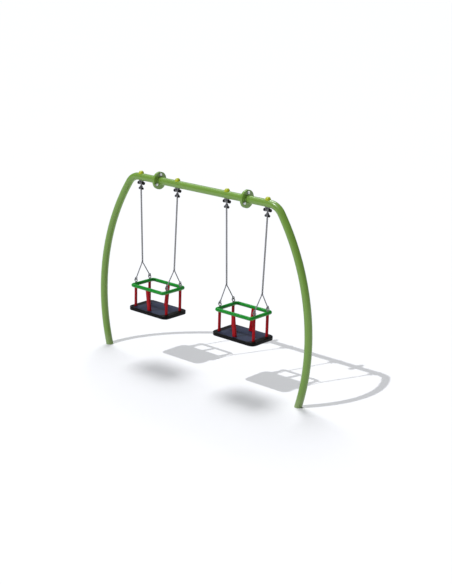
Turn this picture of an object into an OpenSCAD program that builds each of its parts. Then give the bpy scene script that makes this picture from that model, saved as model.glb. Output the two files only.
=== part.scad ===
// Two-bay arch swing with cradle seats: a bent tube arch, two seats on chains, all fastened and hinged as built.
// +X runs along the beam to the right, +Y to the back, +Z up. The origin is on the ground under the beam's middle.

/* [Arch] */
// Height of the beam's axis above the ground
beam_h = 1930; // [1600:10:2400]
// Outside diameter of the arch tube
tube_d = 76.1; // [60:0.1:90]
// Wall of the arch tube
tube_wall = 3.6; // [2.5:0.1:6]
// Distance from the middle to a leg's axis where the leg is widest
leg_reach = 1393; // [1250:1:1700]
// Height above the ground where a leg is widest
leg_wide_h = 614; // [450:1:800]
// Radius of the tight bend between leg and beam
corner_bend_r = 170; // [140:5:200]
// Straight tube between the outer hanger and the tight bend
shoulder_gap = 7; // [4:1:20]

/* [Bolted flanges] */
// Distance from the middle to the plane where a leg meets the beam
flange_x = 581; // [500:1:650]
// Diameter of a flange disc
flange_d = 180; // [165:1:220]
// Thickness of a flange disc
flange_t = 12; // [8:0.5:20]
// Pitch circle diameter of the flange bolts
flange_pcd = 128; // [122:1:135]
// Thread diameter of the flange bolts
flange_bolt_d = 16; // [12:1:18]
// Leg length of the weld fillets at the flanges
weld_leg = 5; // [3:0.5:7]

/* [Swings] */
// Distance from the middle to the middle of a seat
swing_x = 584; // [500:1:650]
// Distance between the two hangers of a swing
hanger_span = 511; // [480:1:560]
// Distance between the two chains where they meet the forked rods
apex_span = 457; // [430:1:480]
// Drop from the beam's axis to a hanger's axle
axle_drop = 66; // [62:0.5:80]
// Drop from the axle to the pin that carries the chain
pin_drop = 56; // [50:0.5:70]
// Height above the ground where the chain meets the forked rods
apex_h = 1022; // [950:1:1150]

/* [Hanger] */
// Thread diameter of the bolt that holds a hanger to the beam
hanger_bolt_d = 12; // [10:0.5:14]
// Outside diameter of the round cap on top of the beam
cap_d = 58; // [50:0.5:64]
// Height of the cap's middle above the beam's axis
cap_rise = 35; // [32:0.5:40]
// Gap between the cheeks of a hanger bracket
cheek_gap = 30; // [28:0.5:40]
// Thickness of a bracket cheek
cheek_t = 6; // [5:0.5:9]
// Width of the bracket along the swing direction where it meets the beam
bracket_y = 30; // [28:1:56]
// Thickness of the bracket's block under the beam
block_t = 10; // [8:0.5:10]
// Diameter of the axle
axle_d = 12; // [10:0.5:14]
// Outside diameter of the axle bush
bush_d = 20; // [18:0.5:22]
// Outside diameter of the knuckle's barrel
barrel_d = 28; // [26:0.5:30]
// Diameter of the knuckle's waist
waist_d = 12; // [10:0.5:16]
// Diameter of the pin that carries the chain
pin_d = 10; // [8:0.5:11]
// Gap between the prongs of the knuckle's fork
fork_gap = 14; // [12:0.5:16]
// Thickness of a fork prong
prong_t = 7; // [5:0.5:8]
// Outside diameter of the black caps on the axle
axle_cap_d = 32; // [25:0.5:34]
// Depth of the black caps on the axle
axle_cap_h = 22; // [14:0.5:24]
// Outside diameter of the black caps on the chain pin
pin_cap_d = 24; // [21:0.5:26]
// Depth of the black caps on the chain pin
pin_cap_h = 14; // [12:0.5:16]

/* [Chain] */
// Wire diameter of the chain links
link_d = 6; // [5:0.5:7]
// Nominal inside length of a link
link_pitch = 18; // [17:0.5:24]
// Outside width of a link
link_w = 20.4; // [19:0.2:24]
// Thickness of the eye plates at the chain's ends
eye_t = 5; // [4:0.5:6]
// Distance from an eye plate's bore to its link hole
eye_reach = 19; // [18:0.5:26]

/* [Forked rods] */
// Diameter of the rods
rod_d = 11; // [8:0.5:12]
// Diameter of the pin where rods and chain meet
apex_pin_d = 8; // [7:0.5:9]
// Wire diameter of a rod's lower ring
rod_ring_wire = 9; // [7:0.5:10]
// Distance across the middle of the wire of a rod's lower ring
rod_ring_d = 26; // [22:0.5:28]
// Wire diameter of the eye bolts' rings
eye_wire = 10.5; // [8:0.5:11]
// Distance across the middle of the wire of the eye bolts' rings
eye_ring_d = 33; // [28:0.5:36]
// Height of the eye bolts' collars above the rail
collar_h = 5; // [4:0.5:12]

/* [Seat] */
// Length of the seat plate along the beam
seat_w = 545; // [500:1:620]
// Depth of the seat plate in the swing direction
seat_d = 347; // [330:1:400]
// Corner radius of the seat plate
seat_corner_r = 60; // [40:1:80]
// Thickness of the seat plate
seat_t = 36; // [28:0.5:45]
// Height of the seat's top above the ground
seat_h = 572; // [540:1:620]
// Length of the guard rail's centre line along the beam
rail_w = 442; // [400:1:470]
// Depth of the guard rail's centre line
rail_depth = 313; // [290:1:330]
// Bend radius of the guard rail's corners
rail_corner_r = 22; // [22:1:40]
// Outside diameter of the guard rail
rail_d = 37; // [32:0.5:42]
// Wall of the guard rail
rail_wall = 2.6; // [2:0.1:4]
// Height of the guard rail's axis above the ground
rail_h = 808; // [780:1:850]
// Distance between the front and the back corner posts
post_gap_y = 204; // [180:1:220]
// Outside diameter of the corner posts
corner_post_d = 31; // [22:0.5:33]
// Width of the flat middle posts along the beam
middle_post_w = 52; // [40:1:64]
// Thickness of the flat middle posts
middle_post_t = 30; // [22:0.5:32]
// Distance between the feet of the two middle posts
middle_foot_gap_y = 250; // [230:1:290]
// Thread diameter of the tie rods inside the posts
tie_d = 10; // [8:0.5:12]
// Length of the metal core inside the seat plate
core_w = 490; // [460:1:492]
// Depth of the metal core inside the seat plate
core_d = 292; // [280:1:300]
// Thickness of the metal core
core_t = 5; // [3:0.5:8]

/* [Hidden] */
$fn = 64;

// Clearances: faces that are bolted together, shafts that turn, sides that pass each other, threads and bolt holes.
seat_gap = 0.05;
running_gap = 0.05;
side_gap = 0.4;
thread_gap = 0.1;
hole_gap = 0.6;
link_gap = 0.15;

// Hardware in proportion to its thread: across flats, head height, nut height, washer.
function flats(d) = 1.6 * d;
function head_h(d) = 0.64 * d;
function nut_h(d) = 0.8 * d;
function washer_d(d) = 1.9 * d;
washer_t = 3;
thread_end = 3;

// Flush welds between lengths of tube, and the steps of the long bends.
butt_weld_l = 6;
butt_weld_rise = 0.15;
root_gap = 0.5;
bend_fn = 720;

colour_frame = [0.40, 0.62, 0.27];
colour_cap = [0.74, 0.76, 0.12];
colour_black = [0.06, 0.06, 0.07];
colour_steel = [0.55, 0.56, 0.58];
colour_zinc = [0.70, 0.71, 0.72];
colour_rail = [0.10, 0.50, 0.15];
colour_post = [0.60, 0.06, 0.09];
colour_rubber = [0.12, 0.13, 0.17];

// Hanger levels and the outer faces of bracket and fork.
axle_z = beam_h - axle_drop;
pin_z = axle_z - pin_drop;
cheek_face = cheek_gap / 2 + cheek_t;
prong_face = fork_gap / 2 + prong_t;
barrel_l = cheek_gap - 2 * side_gap;
prong_r = pin_d / 2 + 6;
cap_wall = 1.5;
cap_end = 3;

// Eye plates: the link's wire passes through a hole that the wire's own bend just clears.
link_r = (link_w - link_d) / 2;
link_hole_d = link_d + 1;
link_hole_shift = 0.3;
eye_boss_r = pin_d / 2 + 4;
eye_tail_r = link_hole_d / 2 + 4.5;

// Rods: each has a flat eye beside the chain's eye plate.
rod_eye_t = 5;
rod_eye_r = apex_pin_d / 2 + 4;
rod_eye_x = eye_t / 2 + side_gap + rod_eye_t / 2;
rod_start = rod_eye_r + 1.5;
apex_face = rod_eye_x + rod_eye_t / 2;

// Eye bolts stand on the rail's sides, over the corner posts.
post_x = rail_w / 2;
post_y = post_gap_y / 2;
eye_bottom = collar_h - 2;
eye_z = rail_h + rail_d / 2 + eye_bottom + (eye_ring_d + eye_wire) / 2;
eye_top_z = eye_z + eye_ring_d / 2;
ring_play = (rod_ring_d - rod_ring_wire - eye_wire) / 2 - link_gap;
collar_d = tie_d + 8;
seat_bottom = seat_h - seat_t;
core_z = seat_h - (seat_t + core_t) / 2;
middle_y = middle_foot_gap_y / 2;
rail_y = rail_depth / 2;
tie_end = nut_h(tie_d) + thread_end;

// Where a swing's two hangers and chain ends are: outer is 1 away from the middle, -1 towards it.
function hanger_x(side, outer) = side * (swing_x + outer * hanger_span / 2);
function apex_x(side, outer) = side * (swing_x + outer * apex_span / 2);
// The chain's line from one eye plate's link hole to the other's: its length, and its lean from the vertical.
function line_x(side, outer) = hanger_x(side, outer) - apex_x(side, outer);
function line_l(side, outer) = norm([line_x(side, outer), pin_z - apex_h - 2 * eye_reach]);
function line_lean(side, outer) = asin(line_x(side, outer) / line_l(side, outer));
// Links on a chain: an odd number, so that both end links stand alike in their eye plates.
function chain_run(side, outer) = line_l(side, outer) + 2 * link_hole_shift - link_d - link_gap;
function link_count(side, outer) = 2 * round((chain_run(side, outer) / link_pitch - 1) / 2) + 1;
function link_step(side, outer) = chain_run(side, outer) / link_count(side, outer);

// The tight bend starts clear of the outer hanger. The long bend's radius follows, so that the two arcs touch the
// beam's line and each other without a kink and the leg stands upright where it is widest.
corner_x = hanger_x(1, 1) + cheek_face + shoulder_gap;
corner_z = beam_h - corner_bend_r;
corner_reach = leg_reach - corner_x;
leg_bend_r = (pow(corner_z - leg_wide_h, 2) + pow(corner_reach, 2) - pow(corner_bend_r, 2))
    / (2 * (corner_reach - corner_bend_r));
leg_bend_x = leg_reach - leg_bend_r;
blend_angle = atan2(corner_z - leg_wide_h, corner_x - leg_bend_x);
foot_angle = -asin((leg_wide_h + tube_d / 2) / leg_bend_r);

// ---- shapes that repeat ----

module tube_ring(d, wall) {
    difference() {
        circle(d = d, $fn = 64);
        circle(d = d - 2 * wall, $fn = 64);
    }
}

module along_x(l, d) {
    translate([-l / 2, 0, 0]) rotate([0, 90, 0]) cylinder(h = l, d = d);
}

module rounded_rect(w, d, r) {
    square([w - 2 * r, d], center = true);
    square([w, d - 2 * r], center = true);
    for (sx = [-1, 1], sy = [-1, 1]) translate([sx * (w / 2 - r), sy * (d / 2 - r)]) circle(r = r);
}

// A hexagon head or nut standing on the XY plane.
module hexagon(d, h) {
    cylinder(h = h, d = flats(d) / cos(30), $fn = 6);
}

module washer(d, t, outer_d) {
    difference() {
        cylinder(h = t, d = outer_d);
        translate([0, 0, -1]) cylinder(h = t + 2, d = d + 2 * hole_gap);
    }
}

module nut(d) {
    difference() {
        hexagon(d, nut_h(d));
        translate([0, 0, -1]) cylinder(h = nut_h(d) + 2, d = d + 2 * thread_gap);
    }
}

// A dome nut opens downwards when standing on the XY plane.
module dome_nut(d, depth) {
    difference() {
        union() {
            hexagon(d, nut_h(d));
            translate([0, 0, nut_h(d) - 0.5]) cylinder(h = depth - nut_h(d), d = 1.35 * d);
            translate([0, 0, depth - 0.5]) sphere(d = 1.35 * d);
        }
        translate([0, 0, -1]) cylinder(h = depth + 1, d = d + 2 * thread_gap);
    }
}

// A black cap over a bolt end, open towards -Z, with a rounded rim.
module end_cap(outer_d, inner_d, h) {
    difference() {
        union() {
            cylinder(h = h - cap_end, d = outer_d);
            translate([0, 0, h - cap_end]) cylinder(h = cap_end, d = outer_d - 2 * cap_end);
            translate([0, 0, h - cap_end]) rotate_extrude() intersection() {
                translate([outer_d / 2 - cap_end, 0]) circle(r = cap_end);
                square([outer_d, outer_d]);
            }
        }
        translate([0, 0, -1]) cylinder(h = h - cap_end + 1, d = inner_d);
    }
}

// Places a child at each of a side's two hangers.
module at_hangers(side, z) {
    for (outer = [1, -1]) translate([hanger_x(side, outer), 0, z]) children();
}

// Places a child on the chain's leaning line, at a distance down from the upper link hole, with +Z up the line.
module on_chain_line(side, outer, down) {
    translate([hanger_x(side, outer), 0, pin_z - eye_reach]) rotate([0, line_lean(side, outer), 0])
        translate([0, 0, -down]) children();
}

// Places a child at each corner post's axis.
module at_corners(side) {
    for (sx = [-1, 1], sy = [-1, 1]) translate([side * swing_x + sx * post_x, sy * post_y, 0]) children();
}

// Places a child at each middle post's foot.
module at_middles(side) {
    for (sy = [-1, 1]) translate([side * swing_x, 0, 0]) mirror([0, sy < 0 ? 1 : 0, 0])
        translate([0, middle_y, 0]) children();
}

// Places a child at each of the three bolts of both flanges, with +Z along the bolt towards its head.
module at_flange_bolts() {
    for (sx = [-1, 1], a = [0, 120, 240]) translate([sx * flange_x, 0, beam_h]) rotate([a, 0, 0])
        translate([0, 0, flange_pcd / 2]) rotate([0, 90, 0]) children();
}

// ---- arch ----

module flange_disc() {
    difference() {
        cylinder(h = flange_t, d = flange_d);
        for (a = [0, 120, 240]) rotate([0, 0, a]) translate([-flange_pcd / 2, 0, -1])
            cylinder(h = flange_t + 2, d = flange_bolt_d + 2 * hole_gap);
    }
    translate([0, 0, flange_t]) rotate_extrude() translate([tube_d / 2, 0])
        polygon([[-tube_wall / 2, 0], [weld_leg, 0], [0, weld_leg], [-tube_wall / 2, weld_leg]]);
}

module hanger_hole(x) {
    translate([x, 0, beam_h - tube_d]) cylinder(h = 2 * tube_d, d = hanger_bolt_d + 2 * hole_gap);
}

// A flush weld that joins two lengths of tube, along Z from the origin both ways.
module butt_weld() {
    translate([0, 0, -butt_weld_l / 2]) linear_extrude(butt_weld_l)
        tube_ring(tube_d + 2 * butt_weld_rise, tube_wall + 2 * butt_weld_rise);
}

// A length of bent tube about the origin in the XZ plane, short of both ends by the root gap of its welds.
module tube_bend(bend_r, from_angle, to_angle) {
    root = root_gap / bend_r * 180 / PI;
    rotate([90, 0, 0]) rotate([0, 0, from_angle + root])
        rotate_extrude(angle = to_angle - from_angle - 2 * root, $fn = bend_fn)
        translate([bend_r, 0]) tube_ring(tube_d, tube_wall);
}

// The right leg: flange, level stub, tight corner and long bend down to the ground.
module leg() {
    stub_x = flange_x + flange_t;
    difference() {
        union() {
            translate([stub_x, 0, beam_h]) rotate([0, 90, 0]) linear_extrude(corner_x - root_gap - stub_x)
                tube_ring(tube_d, tube_wall);
            translate([corner_x, 0, beam_h]) rotate([0, 90, 0]) butt_weld();
            translate([corner_x, 0, corner_z]) {
                tube_bend(corner_bend_r, blend_angle, 90);
                rotate([0, -blend_angle, 0]) translate([corner_bend_r, 0, 0]) butt_weld();
            }
            translate([leg_bend_x, 0, leg_wide_h]) tube_bend(leg_bend_r, foot_angle, blend_angle);
            translate([flange_x, 0, beam_h]) rotate([0, 90, 0]) flange_disc();
        }
        translate([leg_reach - 2 * tube_d, -tube_d, -2 * tube_d])
            cube([4 * tube_d, 2 * tube_d, 2 * tube_d]);
        hanger_hole(hanger_x(1, 1));
    }
}

module right_leg() {
    color(colour_frame) leg();
}

module left_leg() {
    color(colour_frame) mirror([1, 0, 0]) leg();
}

module crossbeam() {
    stub_x = flange_x - flange_t;
    color(colour_frame) difference() {
        union() {
            translate([-stub_x, 0, beam_h]) rotate([0, 90, 0]) linear_extrude(2 * stub_x)
                tube_ring(tube_d, tube_wall);
            for (side = [0, 1]) mirror([side, 0, 0])
                translate([flange_x, 0, beam_h]) rotate([0, -90, 0]) mirror([1, 0, 0]) flange_disc();
        }
        for (side = [-1, 1]) hanger_hole(hanger_x(side, -1));
    }
}

module flange_bolts() {
    shank = flange_t + washer_t;
    color(colour_zinc) at_flange_bolts() {
        translate([0, 0, shank]) hexagon(flange_bolt_d, head_h(flange_bolt_d));
        translate([0, 0, -shank - nut_h(flange_bolt_d) - thread_end])
            cylinder(h = 2 * shank + nut_h(flange_bolt_d) + thread_end, d = flange_bolt_d);
    }
}

module flange_washers() {
    color(colour_zinc) at_flange_bolts() for (end = [0, 1]) mirror([0, 0, end])
        translate([0, 0, flange_t]) washer(flange_bolt_d, washer_t, washer_d(flange_bolt_d));
}

module flange_nuts() {
    color(colour_zinc) at_flange_bolts() translate([0, 0, -flange_t - washer_t])
        mirror([0, 0, 1]) nut(flange_bolt_d);
}

// ---- hangers, fixed half ----

block_bottom = tube_d / 2 + block_t;
saddle_t = 3;

module hanger_bolts() {
    head_z = tube_d / 2 + saddle_t;
    color(colour_zinc) for (side = [-1, 1]) at_hangers(side, beam_h) {
        translate([0, 0, head_z]) hexagon(hanger_bolt_d, head_h(hanger_bolt_d));
        translate([0, 0, 1 - block_bottom]) cylinder(h = head_z + block_bottom - 1, d = hanger_bolt_d);
    }
}

// Round seats between the bolt heads and the tube, hollowed to the tube.
module hanger_washers() {
    color(colour_zinc) for (side = [-1, 1]) at_hangers(side, beam_h) difference() {
        cylinder(h = tube_d / 2 + saddle_t, d = washer_d(hanger_bolt_d));
        translate([0, 0, -1]) cylinder(h = tube_d, d = hanger_bolt_d + 2 * hole_gap);
        along_x(2 * tube_d, tube_d + 2 * seat_gap);
    }
}

module hanger_caps() {
    inner_d = max(washer_d(hanger_bolt_d), flats(hanger_bolt_d) / cos(30)) + 2 * side_gap;
    inner_top = tube_d / 2 + saddle_t + head_h(hanger_bolt_d) + 1;
    color(colour_cap) for (side = [-1, 1]) at_hangers(side, beam_h) difference() {
        translate([0, 0, cap_rise]) sphere(d = cap_d);
        along_x(2 * cap_d, tube_d + 2 * seat_gap);
        cylinder(h = inner_top, d = inner_d);
    }
}

// A block hollowed to the beam with two cheeks that taper down to the axle.
module bracket(side, outer) {
    cheek_r = axle_d / 2 + 9;
    color(colour_steel) translate([hanger_x(side, outer), 0, beam_h]) difference() {
        union() {
            translate([-cheek_face, -bracket_y / 2, -block_bottom])
                cube([2 * cheek_face, bracket_y, block_bottom - tube_d / 4]);
            for (end = [0, 1]) mirror([end, 0, 0]) translate([cheek_gap / 2, 0, 0])
                rotate([90, 0, 90]) linear_extrude(cheek_t) {
                    translate([0, -axle_drop]) circle(r = cheek_r);
                    polygon([
                        [-bracket_y / 2, -block_bottom + 1], [-cheek_r * cos(25), -axle_drop - cheek_r * sin(25)],
                        [cheek_r * cos(25), -axle_drop - cheek_r * sin(25)], [bracket_y / 2, -block_bottom + 1],
                    ]);
                }
        }
        along_x(2 * tube_d, tube_d + 2 * seat_gap);
        translate([0, 0, -tube_d]) cylinder(h = tube_d, d = hanger_bolt_d + 2 * thread_gap);
        translate([0, 0, -axle_drop]) along_x(4 * cheek_face, axle_d + 2 * running_gap);
    }
}

module axle_bolts() {
    color(colour_zinc) for (side = [-1, 1]) at_hangers(side, axle_z) rotate([0, 90, 0]) {
        translate([0, 0, cheek_face]) hexagon(axle_d, head_h(axle_d));
        translate([0, 0, -cheek_face - nut_h(axle_d)])
            cylinder(h = 2 * cheek_face + nut_h(axle_d), d = axle_d);
    }
}

module axle_nuts() {
    color(colour_zinc) for (side = [-1, 1]) at_hangers(side, axle_z)
        translate([-cheek_face, 0, 0]) rotate([0, -90, 0]) nut(axle_d);
}

module axle_caps() {
    inner_d = flats(axle_d) / cos(30) + 2 * thread_gap;
    color(colour_black) for (side = [-1, 1]) at_hangers(side, axle_z) for (end = [0, 1]) mirror([end, 0, 0])
        translate([cheek_face, 0, 0]) rotate([0, 90, 0])
        end_cap(axle_cap_d, inner_d, axle_cap_h);
}

// ---- knuckles, first moving half ----

// A barrel on the axle, a round waist, and a fork that holds the chain's pin.
module knuckle(side, outer) {
    fork_top = barrel_d / 2 + 6;
    shoulder = pin_drop - prong_r - 5;
    web_bottom = pin_drop - eye_boss_r - 2;
    color(colour_steel) translate([hanger_x(side, outer), 0, axle_z]) difference() {
        union() {
            along_x(barrel_l, barrel_d);
            translate([0, 0, -fork_top - 1]) cylinder(h = fork_top - bush_d / 2, d = waist_d);
            intersection() {
                rotate([90, 0, 0]) linear_extrude(4 * prong_r, center = true) polygon([
                    [-waist_d / 2, -fork_top], [-prong_face, -shoulder], [-prong_face, -pin_drop - prong_r],
                    [prong_face, -pin_drop - prong_r], [prong_face, -shoulder], [waist_d / 2, -fork_top],
                ]);
                rotate([90, 0, 90]) linear_extrude(4 * prong_face, center = true) {
                    translate([0, -pin_drop]) circle(r = prong_r);
                    polygon([
                        [-waist_d / 2, -fork_top], [-prong_r, -shoulder], [-prong_r, -pin_drop],
                        [prong_r, -pin_drop], [prong_r, -shoulder], [waist_d / 2, -fork_top],
                    ]);
                }
            }
        }
        along_x(2 * barrel_l, bush_d + 2 * seat_gap);
        translate([-fork_gap / 2, -2 * prong_r, -pin_drop - 2 * prong_r])
            cube([fork_gap, 4 * prong_r, pin_drop + 2 * prong_r - web_bottom]);
        translate([0, 0, -pin_drop]) along_x(4 * prong_face, pin_d + 2 * running_gap);
    }
}

module bushes(side) {
    color(colour_black) at_hangers(side, axle_z) difference() {
        along_x(barrel_l, bush_d);
        along_x(2 * barrel_l, axle_d + 2 * running_gap);
    }
}

module pins(side) {
    color(colour_zinc) at_hangers(side, pin_z) rotate([0, 90, 0]) {
        translate([0, 0, prong_face]) hexagon(pin_d, head_h(pin_d));
        translate([0, 0, -prong_face - nut_h(pin_d)])
            cylinder(h = 2 * prong_face + nut_h(pin_d), d = pin_d);
    }
}

module pin_nuts(side) {
    color(colour_zinc) at_hangers(side, pin_z) translate([-prong_face, 0, 0]) rotate([0, -90, 0]) nut(pin_d);
}

module pin_caps(side) {
    inner_d = flats(pin_d) / cos(30) + 2 * thread_gap;
    color(colour_black) at_hangers(side, pin_z) for (end = [0, 1]) mirror([end, 0, 0])
        translate([prong_face, 0, 0]) rotate([0, 90, 0])
        end_cap(pin_cap_d, inner_d, pin_cap_h);
}

// ---- chains, second moving half ----

// An eye plate hangs down from the origin: a bored boss, and a tail with the link's hole.
module eye_plate(bore_d, boss_r, boss_t) {
    difference() {
        union() {
            along_x(boss_t, 2 * boss_r);
            rotate([90, 0, 90]) linear_extrude(eye_t, center = true) {
                translate([0, -eye_reach]) circle(r = eye_tail_r);
                translate([-eye_tail_r, -eye_reach]) square([2 * eye_tail_r, eye_reach]);
            }
        }
        along_x(2 * boss_t, bore_d + 2 * running_gap);
        translate([0, 0, -eye_reach]) along_x(4 * eye_t, link_hole_d);
    }
}

module top_eyes(side) {
    color(colour_steel) at_hangers(side, pin_z) eye_plate(pin_d, eye_boss_r, fork_gap - 2 * side_gap);
}

module bottom_eyes(side) {
    color(colour_steel) for (outer = [1, -1]) translate([apex_x(side, outer), 0, apex_h]) mirror([0, 0, 1])
        eye_plate(apex_pin_d, rod_eye_r, eye_t);
}

// One link, its length along Z and its flat side in the XZ plane.
module link(inside_l) {
    straight = inside_l / 2 + link_d / 2 - link_r;
    for (end = [0, 1]) mirror([0, 0, end]) translate([0, 0, straight]) rotate([90, 0, 0])
        rotate_extrude(angle = 180) translate([link_r, 0]) circle(d = link_d, $fn = 24);
    for (sx = [-1, 1]) translate([sx * link_r, 0, -straight]) cylinder(h = 2 * straight, d = link_d, $fn = 24);
}

module chain(side, outer) {
    step = link_step(side, outer);
    first = (step + link_gap + link_d) / 2 - link_hole_shift;
    color(colour_zinc) for (i = [0:link_count(side, outer) - 1])
        on_chain_line(side, outer, first + i * step) rotate([0, 0, i % 2 * 90]) link(step + link_gap);
}

// ---- forked rods and their pins ----

// A ring of round wire in the XZ plane.
module wire_ring(d, wire) {
    rotate([90, 0, 0]) rotate_extrude() translate([d / 2, 0]) circle(d = wire);
}

// Both rods of one fork: flat eyes side by side on the apex pin, rings down in the eye bolts.
module rods(side, outer) {
    foot_x = side * swing_x + side * outer * post_x;
    color(colour_zinc) for (sy = [-1, 1]) {
        top = [apex_x(side, outer) + sy * rod_eye_x, 0, apex_h];
        foot = [foot_x, sy * post_y, eye_top_z];
        span = top - foot;
        l = norm(span);
        lean = -sy * acos(span.z / norm([0, span.y, span.z]));
        tip = asin(span.x / l);
        translate(top) rotate([-lean, 0, 0]) {
            difference() {
                union() {
                    along_x(rod_eye_t, 2 * rod_eye_r);
                    translate([-rod_eye_t / 2, -rod_d / 2, -rod_start - 3]) cube([rod_eye_t, rod_d, rod_start + 3]);
                    rotate([0, tip, 0]) translate([0, 0, -l + ring_play + rod_ring_d / 2])
                        cylinder(h = l - ring_play - rod_ring_d / 2 - rod_start, d = rod_d);
                    rotate([0, tip, 0]) translate([0, 0, -l + ring_play]) rotate([0, 0, 90])
                        wire_ring(rod_ring_d, rod_ring_wire);
                }
                along_x(4 * rod_eye_t, apex_pin_d + 2 * running_gap);
            }
        }
    }
}

module apex_pins(side) {
    color(colour_zinc) for (outer = [1, -1]) translate([apex_x(side, outer), 0, apex_h]) rotate([0, 90, 0]) {
        translate([0, 0, apex_face]) cylinder(h = 4, d = 1.6 * apex_pin_d);
        translate([0, 0, -apex_face - 4]) cylinder(h = 4, d = 1.6 * apex_pin_d);
        translate([0, 0, -apex_face]) cylinder(h = 2 * apex_face, d = apex_pin_d);
    }
}

// Ring, collar and a long shank that runs down through rail, post and seat plate.
module eye_bolts(side) {
    collar_z = rail_h + rail_d / 2 + collar_h;
    shank_end = seat_bottom - washer_t - tie_end;
    color(colour_zinc) at_corners(side) {
        translate([0, 0, eye_z]) wire_ring(eye_ring_d, eye_wire);
        difference() {
            translate([0, 0, rail_h]) cylinder(h = rail_d / 2 + collar_h, d = collar_d);
            translate([0, 0, rail_h]) rotate([90, 0, 0])
                cylinder(h = 2 * collar_d, d = rail_d + 2 * seat_gap, center = true);
        }
        translate([0, 0, shank_end]) cylinder(h = collar_z - shank_end - 1, d = tie_d);
    }
}

// ---- seat ----

module rail(side) {
    straight_x = rail_w / 2 - rail_corner_r;
    straight_y = rail_y - rail_corner_r;
    color(colour_rail) translate([side * swing_x, 0, rail_h]) difference() {
        union() {
            for (a = [0, 90, 180, 270]) {
                w = a % 180 == 0 ? straight_x : straight_y;
                d = a % 180 == 0 ? straight_y : straight_x;
                rotate([0, 0, a]) translate([w, d, 0]) rotate_extrude(angle = 90)
                    translate([rail_corner_r, 0]) tube_ring(rail_d, rail_wall);
                rotate([0, 0, a]) translate([w + rail_corner_r, d, 0]) rotate([90, 0, 0])
                    linear_extrude(2 * d) tube_ring(rail_d, rail_wall);
            }
        }
        for (sx = [-1, 1], sy = [-1, 1]) translate([sx * post_x, sy * post_y, -rail_d])
            cylinder(h = 2 * rail_d, d = tie_d + 2 * thread_gap);
    }
}

// Sleeves around the eye bolts, hollowed at the top to the rail.
module corner_posts(side) {
    color(colour_post) at_corners(side) difference() {
        translate([0, 0, seat_h]) cylinder(h = rail_h - seat_h, d = corner_post_d);
        translate([0, 0, seat_h - 1]) cylinder(h = rail_h - seat_h + 2, d = tie_d + 2 * thread_gap);
        translate([0, 0, rail_h]) rotate([90, 0, 0])
            cylinder(h = 2 * corner_post_d, d = rail_d + 2 * seat_gap, center = true);
    }
}

// The middle posts lean from the rail in to the seat plate.
middle_lean = atan2(rail_y - middle_y, rail_h - seat_h);
middle_l = norm([rail_y - middle_y, rail_h - seat_h]);
tie_heel = 3;
tie_step = 0.5;

module middle_profile() {
    square([middle_post_w - middle_post_t, middle_post_t], center = true);
    for (sx = [-1, 1]) translate([sx * (middle_post_w - middle_post_t) / 2, 0]) circle(d = middle_post_t);
}

module middle_posts(side) {
    heel = middle_post_t;
    color(colour_post) at_middles(side) difference() {
        translate([0, 0, seat_h]) rotate([-middle_lean, 0, 0]) translate([0, 0, -heel])
            linear_extrude(middle_l + heel) middle_profile();
        translate([0, 0, seat_h]) rotate([-middle_lean, 0, 0]) translate([0, 0, -heel])
            cylinder(h = middle_l + 2 * heel, d = tie_d + 2 * thread_gap);
        translate([0, 0, seat_h - 1]) cylinder(h = tie_heel + 1, d = tie_d + 2 * thread_gap);
        translate([-seat_d, -seat_d, seat_h - 4 * heel]) cube([2 * seat_d, 2 * seat_d, 4 * heel]);
        translate([0, rail_y - middle_y, rail_h]) along_x(2 * middle_post_w, rail_d + 2 * seat_gap);
    }
}

// Rods inside the middle posts: they lean with the post and stand upright in the seat plate.
module tie_rods(side) {
    color(colour_zinc) at_middles(side) difference() {
        union() {
            translate([0, 0, seat_h]) rotate([-middle_lean, 0, 0]) translate([0, 0, -tie_heel])
                cylinder(h = middle_l + tie_heel, d = tie_d - tie_step);
            translate([0, 0, seat_bottom - washer_t - tie_end])
                cylinder(h = seat_t + washer_t + tie_end + tie_heel, d = tie_d);
        }
        translate([0, rail_y - middle_y, rail_h]) along_x(4 * tie_d, rail_d + 2 * seat_gap);
    }
}

module tie_holes(side) {
    at_corners(side) translate([0, 0, seat_bottom - 1]) cylinder(h = seat_t + 2, d = tie_d + 2 * thread_gap);
    at_middles(side) translate([0, 0, seat_bottom - 1]) cylinder(h = seat_t + 2, d = tie_d + 2 * thread_gap);
}

module core_block(side) {
    translate([side * swing_x, 0, core_z]) linear_extrude(core_t)
        rounded_rect(core_w, core_d, seat_corner_r - (seat_w - core_w) / 2);
}

module seat_plate(side) {
    color(colour_rubber) difference() {
        translate([side * swing_x, 0, seat_bottom]) linear_extrude(seat_t)
            rounded_rect(seat_w, seat_d, seat_corner_r);
        core_block(side);
        tie_holes(side);
    }
}

module seat_core(side) {
    color(colour_steel) difference() {
        core_block(side);
        tie_holes(side);
    }
}

module seat_washers(side) {
    color(colour_zinc) {
        at_corners(side) translate([0, 0, seat_bottom - washer_t]) washer(tie_d, washer_t, washer_d(tie_d) + 8);
        at_middles(side) translate([0, 0, seat_bottom - washer_t]) washer(tie_d, washer_t, washer_d(tie_d) + 8);
    }
}

module seat_nuts(side) {
    color(colour_zinc) {
        at_corners(side) translate([0, 0, seat_bottom - washer_t]) mirror([0, 0, 1]) dome_nut(tie_d, tie_end + 1);
        at_middles(side) translate([0, 0, seat_bottom - washer_t]) mirror([0, 0, 1]) dome_nut(tie_d, tie_end + 1);
    }
}

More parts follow.
